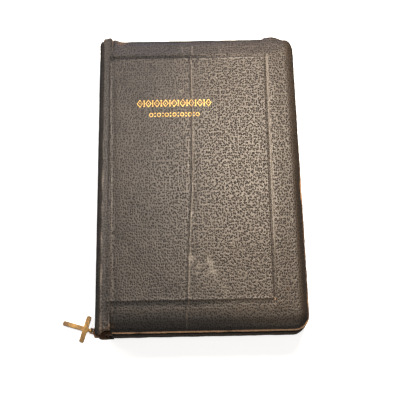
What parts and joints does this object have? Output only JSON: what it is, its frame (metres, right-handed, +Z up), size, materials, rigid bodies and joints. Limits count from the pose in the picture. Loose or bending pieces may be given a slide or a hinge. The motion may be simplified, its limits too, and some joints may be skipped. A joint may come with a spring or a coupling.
{
  "type": "zipped leather bible",
  "caption": "Closed leather book in a zipped case cover lying on its back, with rounded spine, tooled frame line, gilt ornament and a cross hanging from the zip pull.",
  "frame": {"origin": "middle of the flat face of the back cover, which the book rests on", "axes": "+X from spine to fore edge, +Y to the head of the book, +Z up out of the front cover"},
  "size_m": [0.1551, 0.2023, 0.0321],
  "materials": {
    "cover_leather": "black pebble-grained leather, worn brown at the edges",
    "piping_leather": "worn leather piping, tan where the dye has rubbed off",
    "board": "grey millboard",
    "lining": "smooth black leather cloth",
    "endpaper": "aged cream paper",
    "pages": "thin aged paper with toned edges",
    "zip_tape": "black herringbone cotton tape",
    "zip_metal": "tarnished brass",
    "gilt": "stamped gold foil, rubbed",
    "mull": "open cotton mull with glue",
    "endband": "woven silk headband",
    "pull_brass": "antique gold plate",
    "link_metal": "dark brown tarnish"
  },
  "bodies": {
    "rear_block": {"rear_spine_leather": "cover_leather", "rear_mull": "mull", "rear_endband_head": "endband", "rear_endband_tail": "endband", "head_zip_tab": "zip_tape", "head_bottom_stop": "zip_metal", "rear_section_1": "pages", "rear_section_2": "pages", "rear_section_3": "pages", "rear_section_4": "pages", "rear_section_5": "pages"},
    "front_block": {"front_spine_leather": "cover_leather", "front_mull": "mull", "front_endband_head": "endband", "front_endband_tail": "endband", "front_section_1": "pages", "front_section_2": "pages", "front_section_3": "pages", "front_section_4": "pages", "front_section_5": "pages"},
    "leaves_1": {"leaf_group_1": "pages"},
    "leaves_2": {"leaf_group_2": "pages"},
    "leaves_3": {"leaf_group_3": "pages"},
    "leaves_4": {"leaf_group_4": "pages"},
    "front_cover": {"front_leather": "cover_leather", "front_piping": "piping_leather", "front_board": "board", "front_lining": "lining", "front_tape": "zip_tape", "front_teeth_tail": "zip_metal", "front_teeth_fore": "zip_metal", "front_teeth_head": "zip_metal", "title_ornament_upper": "gilt", "title_ornament_lower": "gilt"},
    "back_cover": {"back_leather": "cover_leather", "back_piping": "piping_leather", "back_board": "board", "back_lining": "lining", "back_tape": "zip_tape", "back_teeth_tail": "zip_metal", "back_teeth_fore": "zip_metal", "back_teeth_head": "zip_metal"},
    "front_endpaper": {"front_flyleaf": "endpaper"},
    "back_endpaper": {"back_flyleaf": "endpaper"},
    "slider": {"slider_body": "zip_metal"},
    "pull_link": {"pull_link": "link_metal"},
    "pull_cross": {"pull_cross": "pull_brass"}
  },
  "joints": [
    {"name": "book_opening", "type": "hinge", "parent": "rear_block", "child": "front_block", "pos_m": [-0.0665, 0, 0.016], "axis": [0, -1, 0], "range_deg": [0, 165]},
    {"name": "front_cover_hinge", "type": "hinge", "parent": "front_block", "child": "front_cover", "pos_m": [-0.0557, 0, 0.032], "axis": [0, 1, 0], "range_deg": [-195, 0]},
    {"name": "back_cover_hinge", "type": "hinge", "parent": "rear_block", "child": "back_cover", "pos_m": [-0.0557, 0, 0], "axis": [0, -1, 0], "range_deg": [-175, 0]},
    {"name": "front_endpaper_turn", "type": "hinge", "parent": "front_block", "child": "front_endpaper", "pos_m": [-0.0557, 0, 0.032], "axis": [0, 1, 0], "range_deg": [-78, 0]},
    {"name": "back_endpaper_turn", "type": "hinge", "parent": "rear_block", "child": "back_endpaper", "pos_m": [-0.0557, 0, 0], "axis": [0, -1, 0], "range_deg": [-70, 0]},
    {"name": "leaves_1_turn", "type": "hinge", "parent": "rear_block", "child": "leaves_1", "pos_m": [-0.0665, 0, 0.016], "axis": [0, -1, 0], "range_deg": [0, 19.8]},
    {"name": "leaves_2_turn", "type": "hinge", "parent": "rear_block", "child": "leaves_2", "pos_m": [-0.0665, 0, 0.016], "axis": [0, -1, 0], "range_deg": [0, 57.75]},
    {"name": "leaves_3_turn", "type": "hinge", "parent": "rear_block", "child": "leaves_3", "pos_m": [-0.0665, 0, 0.016], "axis": [0, -1, 0], "range_deg": [0, 102.3]},
    {"name": "leaves_4_turn", "type": "hinge", "parent": "rear_block", "child": "leaves_4", "pos_m": [-0.0665, 0, 0.016], "axis": [0, -1, 0], "range_deg": [0, 145.2]},
    {"name": "slider_travel", "type": "slide", "parent": "rear_block", "child": "slider", "axis": [1, 0, 0], "range_m": [0, 0.0112], "deforming": ["front_teeth_tail", "front_teeth_head", "back_teeth_tail", "back_teeth_head"]},
    {"name": "pull_swing", "type": "hinge", "parent": "slider", "child": "pull_link", "pos_m": [-0.0602, -0.1006, 0.016], "axis": [0, 0, 1], "range_deg": [0, 160]},
    {"name": "cross_lift", "type": "hinge", "parent": "pull_link", "child": "pull_cross", "pos_m": [-0.0706, -0.0942, 0.0015], "axis": [0.2924, 0.9563, 0], "range_deg": [0, 100]}
  ],
  "couplings": [
    {"joint": "leaves_1_turn", "follows": "book_opening", "ratio": 0.12},
    {"joint": "leaves_2_turn", "follows": "book_opening", "ratio": 0.35},
    {"joint": "leaves_3_turn", "follows": "book_opening", "ratio": 0.62},
    {"joint": "leaves_4_turn", "follows": "book_opening", "ratio": 0.88},
    {"joint": "front_endpaper_turn", "follows": "front_cover_hinge", "ratio": 0.4},
    {"joint": "back_endpaper_turn", "follows": "back_cover_hinge", "ratio": 0.4},
    {"joint": "slider_travel", "follows": "pull_swing", "m_per_rad": 0.004}
  ]
}
